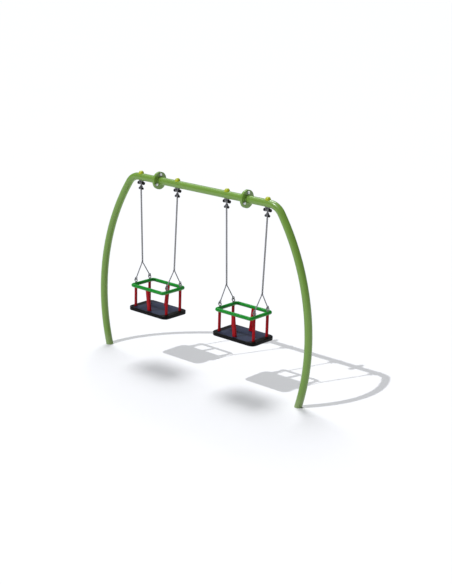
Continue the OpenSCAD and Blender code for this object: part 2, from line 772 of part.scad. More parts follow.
left_leg();
right_leg();
crossbeam();
flange_bolts();
flange_washers();
flange_nuts();
hanger_bolts();
hanger_washers();
hanger_caps();
bracket(-1, 1);  // left_outer_bracket
bracket(-1, -1);  // left_inner_bracket
bracket(1, -1);  // right_inner_bracket
bracket(1, 1);  // right_outer_bracket
axle_bolts();
axle_nuts();
axle_caps();
knuckle(-1, 1);  // left_outer_knuckle
knuckle(-1, -1);  // left_inner_knuckle
knuckle(1, -1);  // right_inner_knuckle
knuckle(1, 1);  // right_outer_knuckle
bushes(-1);  // left_bushes
bushes(1);  // right_bushes
pins(-1);  // left_pins
pins(1);  // right_pins
pin_nuts(-1);  // left_pin_nuts
pin_nuts(1);  // right_pin_nuts
pin_caps(-1);  // left_pin_caps
pin_caps(1);  // right_pin_caps
top_eyes(-1);  // left_top_eyes
top_eyes(1);  // right_top_eyes
bottom_eyes(-1);  // left_bottom_eyes
bottom_eyes(1);  // right_bottom_eyes
chain(-1, 1);  // left_outer_chain
chain(-1, -1);  // left_inner_chain
chain(1, -1);  // right_inner_chain
chain(1, 1);  // right_outer_chain
rods(-1, 1);  // left_outer_rods
rods(-1, -1);  // left_inner_rods
rods(1, -1);  // right_inner_rods
rods(1, 1);  // right_outer_rods
apex_pins(-1);  // left_apex_pins
apex_pins(1);  // right_apex_pins
eye_bolts(-1);  // left_eye_bolts
eye_bolts(1);  // right_eye_bolts
rail(-1);  // left_rail
rail(1);  // right_rail
corner_posts(-1);  // left_corner_posts
corner_posts(1);  // right_corner_posts
middle_posts(-1);  // left_middle_posts
middle_posts(1);  // right_middle_posts
tie_rods(-1);  // left_tie_rods
tie_rods(1);  // right_tie_rods
seat_plate(-1);  // left_seat_plate
seat_plate(1);  // right_seat_plate
seat_core(-1);  // left_seat_core
seat_core(1);  // right_seat_core
seat_washers(-1);  // left_seat_washers
seat_washers(1);  // right_seat_washers
seat_nuts(-1);  // left_seat_nuts
seat_nuts(1);  // right_seat_nuts
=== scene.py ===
"""Looks of the two-bay arch swing: moulded pieces, weld beads, finishes and a plain studio."""

import math

import bmesh
import bpy
from bpy.props import FloatProperty, FloatVectorProperty, PointerProperty
from mathutils import Matrix, Vector


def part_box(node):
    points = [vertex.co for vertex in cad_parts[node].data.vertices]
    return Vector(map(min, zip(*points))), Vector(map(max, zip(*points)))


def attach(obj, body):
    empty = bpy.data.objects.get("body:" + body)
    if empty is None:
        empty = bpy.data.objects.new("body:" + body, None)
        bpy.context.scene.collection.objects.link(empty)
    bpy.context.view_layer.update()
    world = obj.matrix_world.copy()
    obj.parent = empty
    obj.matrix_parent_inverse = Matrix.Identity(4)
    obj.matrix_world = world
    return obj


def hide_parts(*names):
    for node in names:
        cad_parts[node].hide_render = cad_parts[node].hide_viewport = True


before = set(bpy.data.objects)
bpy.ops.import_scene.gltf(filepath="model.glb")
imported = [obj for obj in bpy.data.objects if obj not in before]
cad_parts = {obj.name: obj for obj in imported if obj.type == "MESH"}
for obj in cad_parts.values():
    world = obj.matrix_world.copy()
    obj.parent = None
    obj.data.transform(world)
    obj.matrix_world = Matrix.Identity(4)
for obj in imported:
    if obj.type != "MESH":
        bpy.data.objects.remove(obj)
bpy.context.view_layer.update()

bl_info = {
    "name": "Two-bay arch swing",
    "version": (1, 0, 0),
    "blender": (4, 5, 0),
    "location": "3D View > Sidebar > Swing",
    "description": "Moulded pieces, finishes and studio around the swing's frame",
    "category": "Object",
}

SIDES = ("left", "right")
PLACES = ("left_outer", "left_inner", "right_inner", "right_outer")
FULL_TURN = 2 * math.pi
# The colour sockets of a Mix node, by number.
MIX_FACTOR, MIX_A, MIX_B, MIX_RESULT = 0, 6, 7, 2
# Vertices nearer to each other, or to a middle line, than this many metres count as one, or as on the line.
TINY = 1e-6
# A sleeve's foot has an upright edge with a bevel above it, both given in widths of its lip.
FOOT_EDGE = 3
FOOT_BEVEL = 2
CUTTER_SIDES = 96


def colour(name, description, default):
    """A colour that a user can pick."""
    return FloatVectorProperty(
        name=name, description=description, default=default, size=3, min=0.0, max=1.0, subtype="COLOR"
    )


def length(name, description, default):
    """A length in metres that a user can set."""
    return FloatProperty(
        name=name, description=description, default=default, min=0.0, precision=4, unit="LENGTH"
    )


def amount(name, description, default):
    """A plain number that a user can set."""
    return FloatProperty(name=name, description=description, default=default)


def angle(name, description, default):
    """An angle that a user can set, given here in degrees."""
    return FloatProperty(name=name, description=description, default=math.radians(default), unit="ROTATION")


# ---- what a user can set ----


class SwingColours(bpy.types.PropertyGroup):
    """Colours of the finishes."""

    frame_green: colour("Frame green", "Powder coat of the arch", (0.165, 0.315, 0.042))
    cap_lime: colour("Cap lime", "Round caps on top of the beam", (0.430, 0.500, 0.012))
    zinc_grey: colour("Zinc grey", "Zinc on bolts, nuts and chains", (0.150, 0.151, 0.156))
    eye_grey: colour("Eye grey", "Dull zinc of the eye bolts and rods", (0.250, 0.250, 0.262))
    hanger_grey: colour("Hanger grey", "Cast steel of brackets and knuckles", (0.140, 0.140, 0.148))
    plastic_black: colour("Black plastic", "Caps over the bolt ends", (0.002, 0.002, 0.002))
    bush_grey: colour("Bush grey", "Plain bushes on the axles", (0.030, 0.030, 0.033))
    rail_green: colour("Rail green", "Coat of the guard rails", (0.008, 0.255, 0.022))
    post_red: colour("Post red", "Rubber sleeves of the posts", (0.370, 0.003, 0.008))
    rubber_black: colour("Rubber black", "Rim and underside of the seats", (0.002, 0.002, 0.002))
    # The seats' rubber is black; this slate blue is painted onto the sitting face as a reflection of the
    # sky.
    seat_reflection_slate: colour("Seat slate", "Painted sky reflection on the seats' sitting face", (0.013, 0.019, 0.045))
    core_grey: colour("Core grey", "Metal plate inside the seats", (0.300, 0.300, 0.310))
    floor_white: colour("Floor white", "Studio floor", (0.800, 0.800, 0.800))


class SwingSizes(bpy.types.PropertyGroup):
    """Sizes of the modelled pieces that the frame does not give."""

    tube_radius: length("Tube radius", "Outside radius of the arch's tube", 0.03805)
    flange_plate: length("Flange plate", "Thickness of one flange", 0.012)
    bead_radius: length("Bead radius", "Radius of a weld bead", 0.0034)
    bead_ripple: length("Bead ripple", "Height of the ripples along a weld bead", 0.0006)
    cap_radius: length("Cap radius", "Radius of a round cap", 0.029)
    cap_skirt: length("Cap skirt", "Room round a cap's ball, half of it taken by the collar", 0.0012)
    cap_bore: length("Cap bore", "Radius of the hollow over the bolt head", 0.0165)
    seat_corner: length("Seat corner", "Corner radius of a seat plate", 0.060)
    seat_edge: length("Seat edge", "Rounding of a seat plate's edges", 0.005)
    seat_rim: length("Seat rim", "Width of the flat rim along the sitting face", 0.007)
    seat_end: length("Seat end", "Length of the plain end beside the sitting face", 0.064)
    seat_sink: length("Seat sink", "Depth of the sitting face below its rim", 0.0012)
    pocket_pitch: length("Pocket pitch", "Distance between the pockets under a seat", 0.066)
    pocket_width: length("Pocket width", "Width of a pocket under a seat", 0.056)
    pocket_depth: length("Pocket depth", "Depth of the pockets under a seat", 0.005)
    rail_radius: length("Rail radius", "Outside radius of a guard rail", 0.0185)
    post_radius: length("Corner post radius", "Radius of a corner post's sleeve at its foot", 0.0155)
    middle_foot: length("Middle foot", "From a seat's middle to the middle post's foot", 0.125)
    middle_half: length("Middle post half width", "Half the width of a middle post's foot", 0.026)
    middle_radius: length("Middle post radius", "Radius of a middle post's rounded edges", 0.015)
    sleeve_lip: length("Sleeve lip", "How far a sleeve's foot stands out", 0.0008)
    sleeve_gap: length("Sleeve gap", "Gap between a sleeve and the rail or rod in it", 0.0001)
    post_bore: length("Corner post bore", "Radius of the bore through a corner post's sleeve", 0.0052)


class StudioSettings(bpy.types.PropertyGroup):
    """Camera, lights and floor. The camera's distances are shares of the beam's height."""

    view_azimuth: angle("View azimuth", "Turn of the camera round the swing, from the front", 40.572)
    view_elevation: angle("View elevation", "Height of the camera above the horizon", 16.69)
    view_roll: angle("View roll", "Tilt of the camera about its own axis", 1.606)
    view_distance: amount("View distance", "Beam heights to the camera", 6.4109)
    view_right: amount("Aim right", "Beam heights to the right of the middle", 0.1367)
    view_up: amount("Aim up", "Beam heights above the middle", -0.0454)
    lens: FloatProperty(name="Lens", description="Focal length in millimetres", default=75.65, unit="CAMERA")
    sun_azimuth: angle("Sun azimuth", "Direction that the sunlight runs to, from +X", 70.0)
    sun_elevation: angle("Sun elevation", "Height of the sun above the horizon", 54.0)
    sun_width: angle("Sun width", "How wide the sun is, which softens its shadows", 0.5)
    sun_strength: amount("Sun strength", "Strength of the sunlight", 2.16)
    lamp_azimuth: angle("Lamp azimuth", "Direction that the soft lamp's light runs to, from +X", -37.6)
    lamp_elevation: angle("Lamp elevation", "Height of the soft lamp above the horizon", 59.0)
    lamp_width: angle("Lamp width", "How wide the soft lamp is", 28.0)
    lamp_strength: amount("Lamp strength", "Strength of the soft lamp", 2.26)
    light_tint: colour("Light tint", "Colour of the sun and the soft lamp", (0.960, 0.965, 1.000))
    sky_strength: amount("Sky strength", "Strength of the light all round", 0.15)
    sky_tint: colour("Sky tint", "Colour of the light all round", (0.90, 0.95, 1.00))
    floor_size: length("Floor size", "Half the width of the floor", 150.0)


# ---- shader maths ----


class Value:
    """A socket of a shader that takes part in Python expressions."""

    def __init__(self, shader, socket):
        self.shader = shader
        self.socket = socket

    def math(self, operation, first, second):
        """Adds a Math node on two values."""
        return self.shader.node("ShaderNodeMath", {"operation": operation}, {0: first, 1: second})

    def __add__(self, other):
        return self.math("ADD", self, other)

    def __sub__(self, other):
        return self.math("SUBTRACT", self, other)

    def __rsub__(self, other):
        return self.math("SUBTRACT", other, self)

    def __mul__(self, other):
        return self.math("MULTIPLY", self, other)

    __radd__ = __add__
    __rmul__ = __mul__


class Shader:
    """A material, its Principled shader and the place on the surface that its patterns read."""

    def __init__(self, name):
        self.material = bpy.data.materials.new(name)
        self.material.use_nodes = True
        self.tree = self.material.node_tree
        self.surface = self.tree.nodes["Principled BSDF"]
        self.place = self.node("ShaderNodeTexCoord", output="Object")

    def node(self, kind, settings=None, inputs=None, output=0):
        """Adds a node, its settings first and then the values or links of its sockets."""
        made = self.tree.nodes.new(kind)
        for name, setting in (settings or {}).items():
            setattr(made, name, setting)
        for name, value in (inputs or {}).items():
            self.feed(made.inputs[name], value)
        return Value(self, made.outputs[output])

    def feed(self, socket, value):
        """Links a value to a socket, or sets a number or a colour on it."""
        if isinstance(value, Value):
            self.tree.links.new(value.socket, socket)
        elif socket.type == "RGBA":
            socket.default_value = (*value[:3], 1.0)
        else:
            socket.default_value = value

    def noise(self, size, detail=2.0, stretch=(1.0, 1.0, 1.0)):
        """Noise from 0 to 1 whose features are about a size in metres, longer along stretched axes."""
        scale = tuple(1.0 / (size * s) for s in stretch)
        place = self.node("ShaderNodeMapping", inputs={"Vector": self.place, "Scale": scale})
        return self.node(
            "ShaderNodeTexNoise", inputs={"Vector": place, "Scale": 1.0, "Detail": detail}, output="Fac"
        )

    def cells(self, size, output="Distance"):
        """Distance to, or colour of, the nearest of scattered cells of about a size in metres."""
        return self.node(
            "ShaderNodeTexVoronoi", inputs={"Vector": self.place, "Scale": 1.0 / size}, output=output
        )

    def band(self, value, low, high):
        """0 below low, 1 above high, straight between."""
        return self.node(
            "ShaderNodeMapRange", inputs={"Value": value, "From Min": low, "From Max": high}, output="Result"
        )

    def mix(self, factor, first, second):
        """A colour between two colours."""
        feeds = {MIX_FACTOR: factor, MIX_A: first, MIX_B: second}
        return self.node("ShaderNodeMix", {"data_type": "RGBA"}, feeds, MIX_RESULT)

    def height(self):
        """Height above the ground in metres."""
        return self.node("ShaderNodeSeparateXYZ", inputs={"Vector": self.place}, output="Z")

    def bump(self, height, depth, strength=1.0):
        """A surface raised by a height from 0 to 1 times a depth in metres."""
        feeds = {"Height": height, "Distance": depth, "Strength": strength}
        return self.node("ShaderNodeBump", inputs=feeds, output="Normal")

    def finish(self, **sockets):
        """Sets the Principled shader's sockets, an underscore standing for a space."""
        for name, value in sockets.items():
            self.feed(self.surface.inputs[name.replace("_", " ")], value)
        return self.material


def shade(tone, factor):
    """A colour made lighter or darker by a factor."""
    return tuple(min(1.0, channel * factor) for channel in tone)


# ---- finishes ----


def powder_coat(tone):
    """Satin powder coat: orange peel, slow drift of tone, and dust low down on the legs."""
    s = Shader("frame powder coat")
    drift = s.noise(0.35, 3.0)
    peel = s.noise(0.0022, 2.0)
    grime = s.noise(0.030, 4.0)
    dust = (1 - s.band(s.height(), 0.0, 0.16)) * grime * 0.55
    coat = s.mix(drift, shade(tone, 0.93), shade(tone, 1.07))
    return s.finish(
        Base_Color=s.mix(dust, coat, (0.42, 0.40, 0.33)),
        Roughness=0.30 + grime * 0.10 + dust * 0.4,
        Specular_IOR_Level=0.5,
        Coat_Weight=0.25,
        Coat_Roughness=0.12,
        Normal=s.bump(peel, 0.00022, 0.55),
    )


def lime_plastic(tone):
    """Smooth moulded plastic of the round caps."""
    s = Shader("cap lime plastic")
    mottle = s.noise(0.012, 2.0)
    return s.finish(
        Base_Color=s.mix(mottle, shade(tone, 0.92), shade(tone, 1.08)),
        Roughness=0.26 + mottle * 0.10,
        Normal=s.bump(s.noise(0.0015), 0.0001, 0.4),
    )


def zinc(name, tone, metal, roughness):
    """Galvanised steel: crystals of differing grey, dull patches and fine scratches."""
    s = Shader(name)
    crystals = s.node("ShaderNodeRGBToBW", inputs={"Color": s.cells(0.0045, "Color")}, output="Val")
    patches = s.noise(0.02, 4.0)
    scratches = s.noise(0.0006, 2.0, (1.0, 1.0, 14.0))
    bright = crystals * 0.5 + patches * 0.5
    return s.finish(
        Base_Color=s.mix(bright, shade(tone, 0.72), shade(tone, 1.28)),
        Metallic=metal,
        Roughness=roughness + patches * 0.22 - crystals * 0.06,
        Normal=s.bump(scratches * 0.5 + crystals * 0.5, 0.00008, 0.5),
    )


def cast_steel(tone):
    """Dark cast steel with a grainy skin, rubbed brighter in patches."""
    s = Shader("hanger cast steel")
    rub = s.noise(0.016, 4.0)
    grain = s.noise(0.0012, 3.0)
    return s.finish(
        Base_Color=s.mix(s.band(rub, 0.48, 0.72), tone, shade(tone, 2.4)),
        Metallic=0.75,
        Roughness=0.34 + grain * 0.22,
        Normal=s.bump(grain, 0.00025, 0.6),
    )


def moulded_plastic(name, tone, roughness):
    """Moulded plastic with a fine spark-eroded grain."""
    s = Shader(name)
    grain = s.noise(0.0007, 2.0)
    wear = s.noise(0.010, 3.0)
    return s.finish(
        Base_Color=s.mix(wear, tone, shade(tone, 1.8)),
        Specular_IOR_Level=0.12,
        Roughness=roughness + grain * 0.12,
        Normal=s.bump(grain, 0.00008, 0.5),
    )


def rail_coat(tone):
    """Thick glossy plastic coat of the guard rail, a little dulled where hands hold it."""
    s = Shader("rail green coat")
    waves = s.noise(0.014, 2.0)
    hands = s.noise(0.060, 4.0)
    return s.finish(
        Base_Color=s.mix(hands, shade(tone, 0.85), shade(tone, 1.15)),
        Roughness=0.22 + s.band(hands, 0.45, 0.70) * 0.16,
        Specular_IOR_Level=0.25,
        Normal=s.bump(waves, 0.00035, 0.5),
    )


def sleeve_rubber(tone):
    """Red rubber of the post sleeves: soft gloss, moulding flow and rubbed paler streaks along the post."""
    s = Shader("post red rubber")
    flow = s.noise(0.009, 4.0, (1.0, 1.0, 6.0))
    grain = s.noise(0.0009, 2.0)
    return s.finish(
        Base_Color=s.mix(flow, shade(tone, 0.80), shade(tone, 1.20)),
        Roughness=0.34 + grain * 0.12 + flow * 0.06,
        Specular_IOR_Level=0.12,
        Normal=s.bump(grain * 0.6 + flow * 0.4, 0.00015, 0.5),
    )


def pebbled_rubber(name, tone, pebble, roughness, sheen):
    """Moulded rubber with a pebbled skin and scuffs."""
    s = Shader(name)
    pebbles = s.band(s.cells(pebble), 0.0, 0.75)
    scuffs = s.noise(0.022, 5.0)
    dulled = s.band(scuffs, 0.42, 0.75)
    return s.finish(
        Base_Color=s.mix(dulled, tone, shade(tone, 1.6)),
        Specular_IOR_Level=sheen,
        Roughness=roughness + dulled * 0.18 + pebbles * 0.06,
        Normal=s.bump(1 - pebbles, 0.00035, 0.6),
    )


def floor_paint(tone):
    """Pale matt studio floor."""
    s = Shader("studio floor")
    cloud = s.noise(1.4, 3.0)
    return s.finish(
        Base_Color=s.mix(cloud, shade(tone, 0.995), shade(tone, 1.005)),
        Roughness=0.95,
        Specular_IOR_Level=0.1,
    )


def finishes():
    """Each material slot of the record with its finish, made once."""
    tones = bpy.context.scene.swing_colours
    if "frame powder coat" not in bpy.data.materials:
        powder_coat(tones.frame_green)
        lime_plastic(tones.cap_lime)
        zinc("zinc fasteners", shade(tones.zinc_grey, 4.0), 0.85, 0.24)
        zinc("galvanised chain", tones.zinc_grey, 0.70, 0.34)
        zinc("dull zinc eyes", tones.eye_grey, 0.70, 0.40)
        cast_steel(tones.hanger_grey)
        moulded_plastic("black caps", tones.plastic_black, 0.30)
        moulded_plastic("axle bushes", tones.bush_grey, 0.42)
        rail_coat(tones.rail_green)
        sleeve_rubber(tones.post_red)
        pebbled_rubber("seat rubber", tones.rubber_black, 0.0016, 0.34, 0.10)
        # The sitting face's slate blue is a painted sky reflection on the black rubber; its pebbles and
        # scuffs are the rubber's own.
        pebbled_rubber("seat sitting face", tones.seat_reflection_slate, 0.0024, 0.46, 0.22)
        zinc("seat core plate", tones.core_grey, 0.80, 0.45)
    return bpy.data.materials


def dress(name, *nodes):
    """Gives CAD nodes a finish."""
    for node in nodes:
        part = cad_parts[node]
        part.data.materials.clear()
        part.data.materials.append(finishes()[name])


# ---- modelling by hand ----


def deselect():
    """Leaves edit mode and selects nothing."""
    if bpy.context.mode != "OBJECT":
        bpy.ops.object.mode_set(mode="OBJECT")
    bpy.ops.object.select_all(action="DESELECT")


def take(*pieces):
    """Selects these pieces alone; the first is the active one."""
    deselect()
    for piece in pieces:
        piece.select_set(True)
    bpy.context.view_layer.objects.active = pieces[0]


def begin(name, primitive, **where):
    """Adds a primitive at its place and opens it for modelling."""
    deselect()
    primitive(**where)
    piece = bpy.context.object
    piece.name = name
    piece.data.name = name
    bpy.ops.object.transform_apply(location=True, rotation=True, scale=True)
    bpy.ops.object.mode_set(mode="EDIT")
    return piece


def pick(piece, kind, test):
    """Selects, in edit mode, the vertices, edges or faces that pass a test."""
    bpy.ops.mesh.select_mode(type=kind)
    bpy.ops.mesh.select_all(action="DESELECT")
    mesh = bmesh.from_edit_mesh(piece.data)
    parts = {"VERT": mesh.verts, "EDGE": mesh.edges, "FACE": mesh.faces}[kind]
    for part in parts:
        if test(part):
            part.select_set(True)
    mesh.select_flush_mode()
    bmesh.update_edit_mesh(piece.data)


def ends(edge):
    """The difference between an edge's two ends."""
    return edge.verts[1].co - edge.verts[0].co


def raise_ring(step, factor=1.0, centre=(0.0, 0.0, 0.0)):
    """Extrudes the selected face by a step and scales it across about a centre."""
    bpy.ops.mesh.extrude_region_move(TRANSFORM_OT_translate={"value": tuple(step)})
    if factor != 1.0:
        bpy.ops.transform.resize(value=(factor, factor, 1.0), center_override=tuple(centre))


def close_up(piece, smooth_angle=35.0):
    """Merges doubles, turns the faces outwards, applies modifiers and smooths the edges below an angle."""
    bpy.ops.object.mode_set(mode="EDIT")
    bpy.ops.mesh.select_all(action="SELECT")
    bpy.ops.mesh.remove_doubles(threshold=TINY)
    bpy.ops.mesh.normals_make_consistent(inside=False)
    take(piece)
    for modifier in list(piece.modifiers):
        bpy.ops.object.modifier_apply(modifier=modifier.name)
    bpy.ops.object.shade_smooth_by_angle(angle=math.radians(smooth_angle))
    return piece


def twin(piece, name, step=(0.0, 0.0, 0.0), turn=None, about=(0.0, 0.0, 0.0)):
    """A copy with its own mesh, turned about Z through a point and then moved by a step."""
    take(piece)
    bpy.ops.object.duplicate(linked=False)
    copy = bpy.context.object
    copy.name = name
    copy.data.name = name
    if turn is not None:
        centre = Matrix.Translation(Vector(about))
        copy.data.transform(centre @ Matrix.Rotation(turn, 4, "Z") @ centre.inverted())
    bpy.ops.transform.translate(value=tuple(step))
    bpy.ops.object.transform_apply(location=True, rotation=True, scale=True)
    return copy


def carve(piece, *cutters):
    """Cuts shapes out of a piece and removes the shapes."""
    for cutter in cutters:
        take(piece)
        cut = piece.modifiers.new("carve", "BOOLEAN")
        cut.operation = "DIFFERENCE"
        cut.solver = "EXACT"
        cut.object = cutter
        bpy.ops.object.modifier_apply(modifier=cut.name)
        take(cutter)
        bpy.ops.object.delete()
    return piece


def rod(name, place, radius, reach, axis="Z"):
    """A plain round rod that reaches this far both ways from a place, to cut with."""
    turns = {"X": (0.0, math.radians(90), 0.0), "Y": (math.radians(90), 0.0, 0.0), "Z": (0.0, 0.0, 0.0)}
    piece = begin(
        name,
        bpy.ops.mesh.primitive_cylinder_add,
        vertices=CUTTER_SIDES,
        radius=radius,
        depth=2 * reach,
        location=tuple(place),
        rotation=turns[axis],
    )
    bpy.ops.object.mode_set(mode="OBJECT")
    return piece


def join(name, *pieces):
    """Joins pieces into one object."""
    take(*pieces)
    bpy.ops.object.join()
    pieces[0].name = name
    pieces[0].data.name = name
    return pieces[0]


def hand_over(piece, body, slot, stands_for, *finish_names):
    """Gives a piece its finishes and its body, and hides the CAD nodes that it stands for."""
    for name in finish_names:
        piece.data.materials.append(finishes()[name])
    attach(piece, body)
    if stands_for:
        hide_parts(*stands_for)


def middle(node):
    """The middle of a CAD node's box."""
    low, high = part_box(node)
    return (low + high) / 2


def side_step():
    """The step from the left seat to the right seat."""
    return middle("right_seat_plate") - middle("left_seat_plate")


# ---- operators: one for each group of like pieces ----


class SWING_OT_arch(bpy.types.Operator):
    """Coat the legs and the crossbeam"""

    bl_idname = "swing.arch"
    bl_label = "Arch"

    def execute(self, context):
        dress("frame powder coat", "left_leg", "right_leg", "crossbeam")
        return {"FINISHED"}


class SWING_OT_weld_beads(bpy.types.Operator):
    """Lay a rippled weld bead where each flange meets its tube"""

    bl_idname = "swing.weld_beads"
    bl_label = "Weld beads"

    RINGS = 132
    RIPPLE_EVERY = 3
    STAND_OFF = 0.4

    def execute(self, context):
        sizes = context.scene.swing_sizes
        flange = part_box("right_leg")[0].x
        first = flange + sizes.flange_plate
        bead = self.bead(first, middle("crossbeam").z, sizes)
        others = (flange - sizes.flange_plate, sizes.flange_plate - flange, -first)
        beads = [bead, *(twin(bead, "bead", (x - first, 0.0, 0.0)) for x in others)]
        whole = join("flange_weld_beads", *beads)
        hand_over(whole, "arch", "frame_paint", (), "frame powder coat")
        return {"FINISHED"}

    def bead(self, x, z, sizes):
        """One bead: a ring whose middle stands a little off the tube, with a ripple every few segments."""
        ring = begin(
            "bead",
            bpy.ops.mesh.primitive_torus_add,
            location=(x, 0.0, z),
            rotation=(0.0, math.radians(90), 0.0),
            major_segments=self.RINGS,
            minor_segments=10,
            major_radius=sizes.tube_radius + self.STAND_OFF * sizes.bead_radius,
            minor_radius=sizes.bead_radius,
        )
        pitch = FULL_TURN / self.RINGS

        def on_ripple(vert):
            turn = math.atan2(vert.co.y, vert.co.z - z) / pitch
            return round(turn) % self.RIPPLE_EVERY == 0

        pick(ring, "VERT", on_ripple)
        bpy.ops.transform.shrink_fatten(value=sizes.bead_ripple)
        return close_up(ring, 60.0)


class SWING_OT_round_caps(bpy.types.Operator):
    """Mould the four lime caps on top of the beam"""

    bl_idname = "swing.round_caps"
    bl_label = "Round caps"

    SEGMENTS = 64
    RINGS = 32

    def execute(self, context):
        sizes = context.scene.swing_sizes
        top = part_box("hanger_caps")[1].z
        spots = [middle(f"{place}_bracket").x for place in PLACES]
        first = self.cap(spots[0], top, sizes)
        caps = [first, *(twin(first, "cap", (x - spots[0], 0.0, 0.0)) for x in spots[1:])]
        whole = join("lime_caps", *caps)
        hand_over(whole, "arch", "cap_plastic", ("hanger_caps",), "cap lime plastic")
        return {"FINISHED"}

    def cap(self, x, top, sizes):
        """A ball with a collar low down, hollowed to the tube and over the bolt's head."""
        beam = middle("crossbeam").z
        ball_z = top - sizes.cap_radius
        ball = begin(
            "cap",
            bpy.ops.mesh.primitive_uv_sphere_add,
            segments=self.SEGMENTS,
            ring_count=self.RINGS,
            radius=sizes.cap_radius - sizes.cap_skirt,
            location=(x, 0.0, ball_z),
        )
        skirt_top = beam + sizes.tube_radius + sizes.cap_skirt
        # The dome is lifted, so that its top is where the frame has it.
        pick(ball, "VERT", lambda v: v.co.z > ball_z + 2 * sizes.cap_skirt)
        bpy.ops.transform.translate(value=(0.0, 0.0, sizes.cap_skirt))
        pick(ball, "FACE", lambda f: f.calc_center_median().z < min(skirt_top, ball_z))
        bpy.ops.transform.shrink_fatten(value=sizes.cap_skirt / 2)
        close_up(ball, 40.0)
        axis = (x, 0.0, beam)
        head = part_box("hanger_bolts")[1].z
        tube = rod("tube", axis, sizes.tube_radius + sizes.sleeve_gap, 3 * sizes.cap_radius, "X")
        bore = rod("bore", axis, sizes.cap_bore, head - beam + sizes.cap_skirt)
        return carve(ball, tube, bore)


class SWING_OT_fasteners(bpy.types.Operator):
    """Plate the bolts, nuts and washers"""

    bl_idname = "swing.fasteners"
    bl_label = "Fasteners"

    def execute(self, context):
        dress("zinc fasteners", "flange_bolts", "flange_washers", "flange_nuts")
        dress("zinc fasteners", "hanger_bolts", "hanger_washers", "axle_bolts", "axle_nuts")
        for side in SIDES:
            names = ("pins", "pin_nuts", "apex_pins", "tie_rods", "seat_washers", "seat_nuts")
            dress("zinc fasteners", *(f"{side}_{name}" for name in names))
            dress("seat core plate", f"{side}_seat_core")
        return {"FINISHED"}


class SWING_OT_hangers(bpy.types.Operator):
    """Finish the brackets, knuckles, bushes and black caps"""

    bl_idname = "swing.hangers"
    bl_label = "Hangers"

    def execute(self, context):
        for place in PLACES:
            dress("hanger cast steel", f"{place}_bracket", f"{place}_knuckle")
        dress("black caps", "axle_caps", "left_pin_caps", "right_pin_caps")
        dress("axle bushes", "left_bushes", "right_bushes")
        return {"FINISHED"}


class SWING_OT_chains(bpy.types.Operator):
    """Galvanise the chains, eye plates, forked rods and eye bolts"""

    bl_idname = "swing.chains"
    bl_label = "Chains and rods"

    def execute(self, context):
        for place in PLACES:
            dress("galvanised chain", f"{place}_chain")
            dress("dull zinc eyes", f"{place}_rods")
        for side in SIDES:
            dress("galvanised chain", f"{side}_top_eyes", f"{side}_bottom_eyes")
            dress("dull zinc eyes", f"{side}_eye_bolts")
        return {"FINISHED"}


class SWING_OT_rails(bpy.types.Operator):
    """Coat the guard rails"""

    bl_idname = "swing.rails"
    bl_label = "Guard rails"

    def execute(self, context):
        dress("rail green coat", "left_rail", "right_rail")
        return {"FINISHED"}


class SWING_OT_seat_plates(bpy.types.Operator):
    """Mould the rubber seats: rounded edges, a sunk sitting face and pockets underneath"""

    bl_idname = "swing.seat_plates"
    bl_label = "Seat plates"

    CORNER_STEPS = 14
    EDGE_STEPS = 6
    POCKETS = (6, 3)

    def execute(self, context):
        sizes = context.scene.swing_sizes
        seat = self.plate("left_seat_rubber", *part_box("left_seat_plate"), sizes)
        twin_seat = twin(seat, "right_seat_rubber", side_step())
        for side, piece in zip(SIDES, (seat, twin_seat)):
            node = f"{side}_seat_plate"
            hand_over(piece, f"{side}_seat", "seat_rubber", (node,), "seat rubber", "seat sitting face")
        return {"FINISHED"}

    def plate(self, name, low, high, sizes):
        """A block with round corners and edges, sunk on top and hollowed in pockets below."""
        centre, span = (low + high) / 2, high - low
        seat = begin(name, bpy.ops.mesh.primitive_cube_add, size=1.0, location=centre, scale=span)
        pick(seat, "EDGE", lambda e: abs(ends(e).z) > span.z / 2)
        bpy.ops.mesh.bevel(offset=sizes.seat_corner, offset_type="OFFSET", segments=self.CORNER_STEPS)
        pick(seat, "EDGE", lambda e: abs(ends(e).z) < span.z / 2)
        bpy.ops.mesh.bevel(offset=sizes.seat_edge, offset_type="OFFSET", segments=self.EDGE_STEPS)
        self.sink_sitting_face(seat, centre, span, sizes)
        close_up(seat)
        return carve(seat, self.pockets(centre, span, sizes))

    def sink_sitting_face(self, seat, centre, span, sizes):
        """Insets the top, draws its ends in, sinks it and gives it the second finish, whose slate blue is a
        painted sky reflection.
        """
        pick(seat, "FACE", lambda f: f.normal.z > 0.999)
        bpy.ops.mesh.inset(thickness=sizes.seat_rim, depth=0.0)
        half = span.x / 2
        drawn_in = (half - sizes.seat_end) / (half - sizes.seat_edge - sizes.seat_rim)
        bpy.ops.transform.resize(value=(drawn_in, 1.0, 1.0), center_override=tuple(centre))
        bpy.ops.mesh.inset(thickness=sizes.seat_sink, depth=-sizes.seat_sink)
        mesh = bmesh.from_edit_mesh(seat.data)
        for face in mesh.faces:
            if face.select:
                # Material 1 paints the sky's reflection onto the sitting face as slate blue.
                face.material_index = 1
        bmesh.update_edit_mesh(seat.data)

    def pockets(self, centre, span, sizes):
        """Blocks in rows, to press the pockets under a seat with."""
        across, deep = self.POCKETS
        bottom = centre.z - span.z / 2
        pitch, width = sizes.pocket_pitch, sizes.pocket_width
        start = centre - Vector(((across - 1) * pitch / 2, (deep - 1) * pitch / 2, 0.0))
        block = begin(
            "pocket",
            bpy.ops.mesh.primitive_cube_add,
            size=1.0,
            location=(start.x, start.y, bottom),
            scale=(width, width, 2 * sizes.pocket_depth),
        )
        pick(block, "EDGE", lambda e: abs(ends(e).z) > sizes.pocket_depth)
        bpy.ops.mesh.bevel(offset=width / 6, offset_type="OFFSET", segments=4)
        pick(block, "FACE", lambda f: f.normal.z > 0.99)
        bpy.ops.mesh.bevel(offset=sizes.pocket_depth / 3, offset_type="OFFSET", segments=2)
        for axis, count in enumerate(self.POCKETS):
            row = block.modifiers.new("row", "ARRAY")
            row.count = count
            row.use_relative_offset = False
            row.use_constant_offset = True
            row.constant_offset_displace = tuple(pitch if i == axis else 0.0 for i in range(3))
        return close_up(block)


